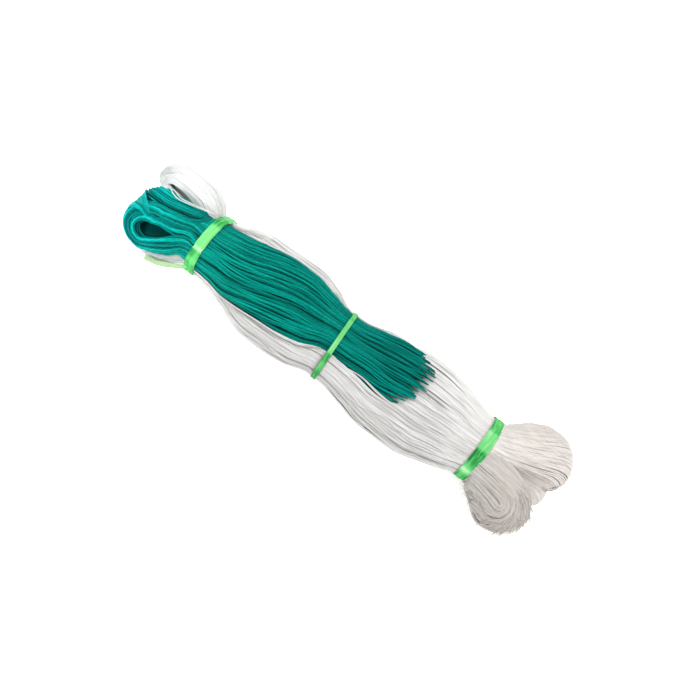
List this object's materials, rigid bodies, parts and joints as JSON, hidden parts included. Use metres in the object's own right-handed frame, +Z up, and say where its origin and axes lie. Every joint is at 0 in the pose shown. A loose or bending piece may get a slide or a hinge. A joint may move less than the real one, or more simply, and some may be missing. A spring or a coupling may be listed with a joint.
{
  "type": "trellis netting hank",
  "caption": "Tied hank of gathered trellis netting: green cords lying on looped white threads, held by tight film ties.",
  "frame": {"origin": "centre of the hank's box, on the surface it lies on", "axes": "+X along the hank from the folded head to the looped foot, +Y to the far side, +Z up"},
  "size_m": [0.409, 0.1062, 0.0465],
  "materials": {
    "white_thread": "matte",
    "green_cord": "satin",
    "tie_film": "gloss"
  },
  "bodies": {
    "root": {"white_hank": "white_thread", "green_hank": "green_cord", "tie_upper": "tie_film", "tie_middle": "tie_film", "tie_lower": "tie_film"}
  },
  "joints": []
}
